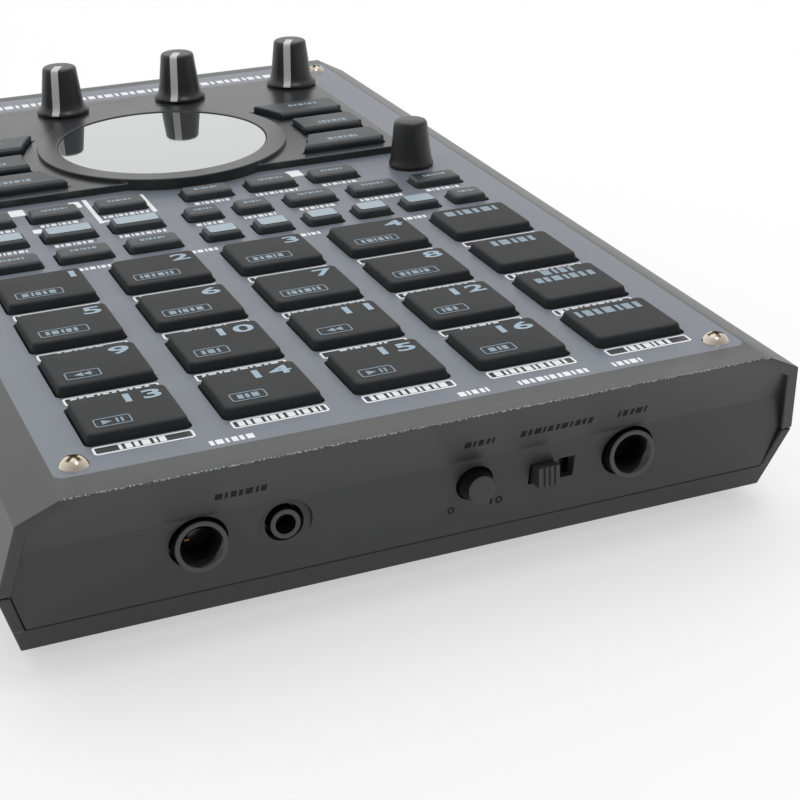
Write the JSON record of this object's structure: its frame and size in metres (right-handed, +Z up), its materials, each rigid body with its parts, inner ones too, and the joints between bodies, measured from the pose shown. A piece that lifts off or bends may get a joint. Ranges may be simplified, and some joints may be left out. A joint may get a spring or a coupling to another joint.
{
  "type": "audio sampler",
  "caption": "Table-top audio sampler with a sloping panel of pads, small keys and knobs round a circular display, sockets in the front and rear faces and a battery door underneath.",
  "frame": {"origin": "on the table, under the middle of the case's width and depth", "axes": "+X to the player's right, +Y to the rear along the longest side, +Z up"},
  "size_m": [0.177, 0.272, 0.0711],
  "materials": {
    "case_plastic": "fine moulded grain",
    "panel_metal": "satin paint",
    "bezel_plastic": "satin",
    "display_glass": "clear gloss over a dark display",
    "black_plastic": "moulded gloss",
    "pad_rubber": "matte",
    "key_plastic": "satin",
    "knob_plastic": "soft satin",
    "board": "solder resist",
    "steel": "bright plated",
    "screw_metal": "warm nickel plating",
    "dark_steel": "black zinc",
    "foot_rubber": "matte"
  },
  "bodies": {
    "housing": {"upper_case": "case_plastic", "lower_case": "case_plastic", "top_panel": "panel_metal", "display_bezel": "bezel_plastic", "display_lens": "display_glass", "display_module": "black_plastic", "panel_board": "board", "front_board": "board", "main_board": "board", "control_pots": "steel", "slide_switches": "steel", "quarter_inch_jacks": "black_plastic", "mini_jacks": "black_plastic", "usb_socket": "steel", "dc_socket": "black_plastic", "feet": "foot_rubber", "panel_screws": "screw_metal", "case_screws": "dark_steel", "battery_contacts": "steel"},
    "pad_1_body": {"pad_1": "pad_rubber"},
    "pad_2_body": {"pad_2": "pad_rubber"},
    "pad_3_body": {"pad_3": "pad_rubber"},
    "pad_4_body": {"pad_4": "pad_rubber"},
    "pad_5_body": {"pad_5": "pad_rubber"},
    "pad_6_body": {"pad_6": "pad_rubber"},
    "pad_7_body": {"pad_7": "pad_rubber"},
    "pad_8_body": {"pad_8": "pad_rubber"},
    "pad_9_body": {"pad_9": "pad_rubber"},
    "pad_10_body": {"pad_10": "pad_rubber"},
    "pad_11_body": {"pad_11": "pad_rubber"},
    "pad_12_body": {"pad_12": "pad_rubber"},
    "pad_13_body": {"pad_13": "pad_rubber"},
    "pad_14_body": {"pad_14": "pad_rubber"},
    "pad_15_body": {"pad_15": "pad_rubber"},
    "pad_16_body": {"pad_16": "pad_rubber"},
    "function_pad_1_body": {"function_pad_1": "pad_rubber"},
    "function_pad_2_body": {"function_pad_2": "pad_rubber"},
    "function_pad_3_body": {"function_pad_3": "pad_rubber"},
    "function_pad_4_body": {"function_pad_4": "pad_rubber"},
    "left_keys_1_body": {"left_keys_1": "key_plastic"},
    "left_keys_2_body": {"left_keys_2": "key_plastic"},
    "left_keys_3_body": {"left_keys_3": "key_plastic"},
    "right_keys_1_body": {"right_keys_1": "key_plastic"},
    "right_keys_2_body": {"right_keys_2": "key_plastic"},
    "right_keys_3_body": {"right_keys_3": "key_plastic"},
    "effect_button_1_body": {"effect_button_1": "key_plastic"},
    "effect_button_2_body": {"effect_button_2": "key_plastic"},
    "effect_button_3_body": {"effect_button_3": "key_plastic"},
    "effect_button_4_body": {"effect_button_4": "key_plastic"},
    "effect_button_5_body": {"effect_button_5": "key_plastic"},
    "effect_button_6_body": {"effect_button_6": "key_plastic"},
    "control_knob_1_body": {"control_knob_1": "knob_plastic"},
    "control_knob_2_body": {"control_knob_2": "knob_plastic"},
    "control_knob_3_body": {"control_knob_3": "knob_plastic"},
    "control_knob_4_body": {"control_knob_4": "knob_plastic"},
    "value_knob_body": {"value_knob": "knob_plastic"},
    "gain_knob_body": {"gain_knob": "knob_plastic"},
    "input_switch_body": {"input_switch_tab": "key_plastic"},
    "power_switch_body": {"power_switch_tab": "key_plastic"},
    "battery_door_body": {"battery_door": "case_plastic"}
  },
  "joints": [
    {"name": "pad_1_press", "type": "slide", "parent": "housing", "child": "pad_1_body", "axis": [0, 0.0593, -0.9982], "range_m": [0, 0.0009], "stiffness_N_per_m": 300, "springref_m": -0.0008},
    {"name": "pad_2_press", "type": "slide", "parent": "housing", "child": "pad_2_body", "axis": [0, 0.0593, -0.9982], "range_m": [0, 0.0009], "stiffness_N_per_m": 300, "springref_m": -0.0008},
    {"name": "pad_3_press", "type": "slide", "parent": "housing", "child": "pad_3_body", "axis": [0, 0.0593, -0.9982], "range_m": [0, 0.0009], "stiffness_N_per_m": 300, "springref_m": -0.0008},
    {"name": "pad_4_press", "type": "slide", "parent": "housing", "child": "pad_4_body", "axis": [0, 0.0593, -0.9982], "range_m": [0, 0.0009], "stiffness_N_per_m": 300, "springref_m": -0.0008},
    {"name": "pad_5_press", "type": "slide", "parent": "housing", "child": "pad_5_body", "axis": [0, 0.0593, -0.9982], "range_m": [0, 0.0009], "stiffness_N_per_m": 300, "springref_m": -0.0008},
    {"name": "pad_6_press", "type": "slide", "parent": "housing", "child": "pad_6_body", "axis": [0, 0.0593, -0.9982], "range_m": [0, 0.0009], "stiffness_N_per_m": 300, "springref_m": -0.0008},
    {"name": "pad_7_press", "type": "slide", "parent": "housing", "child": "pad_7_body", "axis": [0, 0.0593, -0.9982], "range_m": [0, 0.0009], "stiffness_N_per_m": 300, "springref_m": -0.0008},
    {"name": "pad_8_press", "type": "slide", "parent": "housing", "child": "pad_8_body", "axis": [0, 0.0593, -0.9982], "range_m": [0, 0.0009], "stiffness_N_per_m": 300, "springref_m": -0.0008},
    {"name": "pad_9_press", "type": "slide", "parent": "housing", "child": "pad_9_body", "axis": [0, 0.0593, -0.9982], "range_m": [0, 0.0009], "stiffness_N_per_m": 300, "springref_m": -0.0008},
    {"name": "pad_10_press", "type": "slide", "parent": "housing", "child": "pad_10_body", "axis": [0, 0.0593, -0.9982], "range_m": [0, 0.0009], "stiffness_N_per_m": 300, "springref_m": -0.0008},
    {"name": "pad_11_press", "type": "slide", "parent": "housing", "child": "pad_11_body", "axis": [0, 0.0593, -0.9982], "range_m": [0, 0.0009], "stiffness_N_per_m": 300, "springref_m": -0.0008},
    {"name": "pad_12_press", "type": "slide", "parent": "housing", "child": "pad_12_body", "axis": [0, 0.0593, -0.9982], "range_m": [0, 0.0009], "stiffness_N_per_m": 300, "springref_m": -0.0008},
    {"name": "pad_13_press", "type": "slide", "parent": "housing", "child": "pad_13_body", "axis": [0, 0.0593, -0.9982], "range_m": [0, 0.0009], "stiffness_N_per_m": 300, "springref_m": -0.0008},
    {"name": "pad_14_press", "type": "slide", "parent": "housing", "child": "pad_14_body", "axis": [0, 0.0593, -0.9982], "range_m": [0, 0.0009], "stiffness_N_per_m": 300, "springref_m": -0.0008},
    {"name": "pad_15_press", "type": "slide", "parent": "housing", "child": "pad_15_body", "axis": [0, 0.0593, -0.9982], "range_m": [0, 0.0009], "stiffness_N_per_m": 300, "springref_m": -0.0008},
    {"name": "pad_16_press", "type": "slide", "parent": "housing", "child": "pad_16_body", "axis": [0, 0.0593, -0.9982], "range_m": [0, 0.0009], "stiffness_N_per_m": 300, "springref_m": -0.0008},
    {"name": "function_pad_1_press", "type": "slide", "parent": "housing", "child": "function_pad_1_body", "axis": [0, 0.0593, -0.9982], "range_m": [0, 0.0009], "stiffness_N_per_m": 300, "springref_m": -0.0008},
    {"name": "function_pad_2_press", "type": "slide", "parent": "housing", "child": "function_pad_2_body", "axis": [0, 0.0593, -0.9982], "range_m": [0, 0.0009], "stiffness_N_per_m": 300, "springref_m": -0.0008},
    {"name": "function_pad_3_press", "type": "slide", "parent": "housing", "child": "function_pad_3_body", "axis": [0, 0.0593, -0.9982], "range_m": [0, 0.0009], "stiffness_N_per_m": 300, "springref_m": -0.0008},
    {"name": "function_pad_4_press", "type": "slide", "parent": "housing", "child": "function_pad_4_body", "axis": [0, 0.0593, -0.9982], "range_m": [0, 0.0009], "stiffness_N_per_m": 300, "springref_m": -0.0008},
    {"name": "left_keys_1_press", "type": "slide", "parent": "housing", "child": "left_keys_1_body", "axis": [0, 0.0593, -0.9982], "range_m": [0, 0.0009], "stiffness_N_per_m": 300, "springref_m": -0.0008},
    {"name": "left_keys_2_press", "type": "slide", "parent": "housing", "child": "left_keys_2_body", "axis": [0, 0.0593, -0.9982], "range_m": [0, 0.0009], "stiffness_N_per_m": 300, "springref_m": -0.0008},
    {"name": "left_keys_3_press", "type": "slide", "parent": "housing", "child": "left_keys_3_body", "axis": [0, 0.0593, -0.9982], "range_m": [0, 0.0009], "stiffness_N_per_m": 300, "springref_m": -0.0008},
    {"name": "right_keys_1_press", "type": "slide", "parent": "housing", "child": "right_keys_1_body", "axis": [0, 0.0593, -0.9982], "range_m": [0, 0.0009], "stiffness_N_per_m": 300, "springref_m": -0.0008},
    {"name": "right_keys_2_press", "type": "slide", "parent": "housing", "child": "right_keys_2_body", "axis": [0, 0.0593, -0.9982], "range_m": [0, 0.0009], "stiffness_N_per_m": 300, "springref_m": -0.0008},
    {"name": "right_keys_3_press", "type": "slide", "parent": "housing", "child": "right_keys_3_body", "axis": [0, 0.0593, -0.9982], "range_m": [0, 0.0009], "stiffness_N_per_m": 300, "springref_m": -0.0008},
    {"name": "effect_button_1_press", "type": "slide", "parent": "housing", "child": "effect_button_1_body", "axis": [0, 0.0593, -0.9982], "range_m": [0, 0.0009], "stiffness_N_per_m": 250, "springref_m": -0.0008},
    {"name": "effect_button_2_press", "type": "slide", "parent": "housing", "child": "effect_button_2_body", "axis": [0, 0.0593, -0.9982], "range_m": [0, 0.0009], "stiffness_N_per_m": 250, "springref_m": -0.0008},
    {"name": "effect_button_3_press", "type": "slide", "parent": "housing", "child": "effect_button_3_body", "axis": [0, 0.0593, -0.9982], "range_m": [0, 0.0009], "stiffness_N_per_m": 250, "springref_m": -0.0008},
    {"name": "effect_button_4_press", "type": "slide", "parent": "housing", "child": "effect_button_4_body", "axis": [0, 0.0593, -0.9982], "range_m": [0, 0.0009], "stiffness_N_per_m": 250, "springref_m": -0.0008},
    {"name": "effect_button_5_press", "type": "slide", "parent": "housing", "child": "effect_button_5_body", "axis": [0, 0.0593, -0.9982], "range_m": [0, 0.0009], "stiffness_N_per_m": 250, "springref_m": -0.0008},
    {"name": "effect_button_6_press", "type": "slide", "parent": "housing", "child": "effect_button_6_body", "axis": [0, 0.0593, -0.9982], "range_m": [0, 0.0009], "stiffness_N_per_m": 250, "springref_m": -0.0008},
    {"name": "control_knob_1_turn", "type": "hinge", "parent": "housing", "child": "control_knob_1_body", "pos_m": [-0.0552, 0.10421, 0.05667], "axis": [0, 0.0593, -0.9982], "range_deg": [0, 300]},
    {"name": "control_knob_2_turn", "type": "hinge", "parent": "housing", "child": "control_knob_2_body", "pos_m": [-0.0184, 0.10421, 0.05667], "axis": [0, 0.0593, -0.9982], "range_deg": [0, 300]},
    {"name": "control_knob_3_turn", "type": "hinge", "parent": "housing", "child": "control_knob_3_body", "pos_m": [0.0184, 0.10421, 0.05667], "axis": [0, 0.0593, -0.9982], "range_deg": [0, 300]},
    {"name": "control_knob_4_turn", "type": "hinge", "parent": "housing", "child": "control_knob_4_body", "pos_m": [0.0552, 0.10421, 0.05667], "axis": [0, 0.0593, -0.9982], "range_deg": [0, 300]},
    {"name": "value_knob_turn", "type": "hinge", "parent": "housing", "child": "value_knob_body", "pos_m": [0.05912, 0.01698, 0.04949], "axis": [0, 0.0593, -0.9982], "continuous": true},
    {"name": "gain_knob_turn", "type": "hinge", "parent": "housing", "child": "gain_knob_body", "pos_m": [0.011, -0.12636, 0.0212], "axis": [0, 1, 0], "range_deg": [0, 280]},
    {"name": "input_switch_slide", "type": "slide", "parent": "housing", "child": "input_switch_body", "axis": [1, 0, 0], "range_m": [0, 0.004]},
    {"name": "power_switch_slide", "type": "slide", "parent": "housing", "child": "power_switch_body", "axis": [-1, 0, 0], "range_m": [0, 0.004]},
    {"name": "battery_door_hinge", "type": "hinge", "parent": "housing", "child": "battery_door_body", "pos_m": [0, -0.0473, 0.0042], "axis": [-1, 0, 0], "range_deg": [0, 75]}
  ]
}
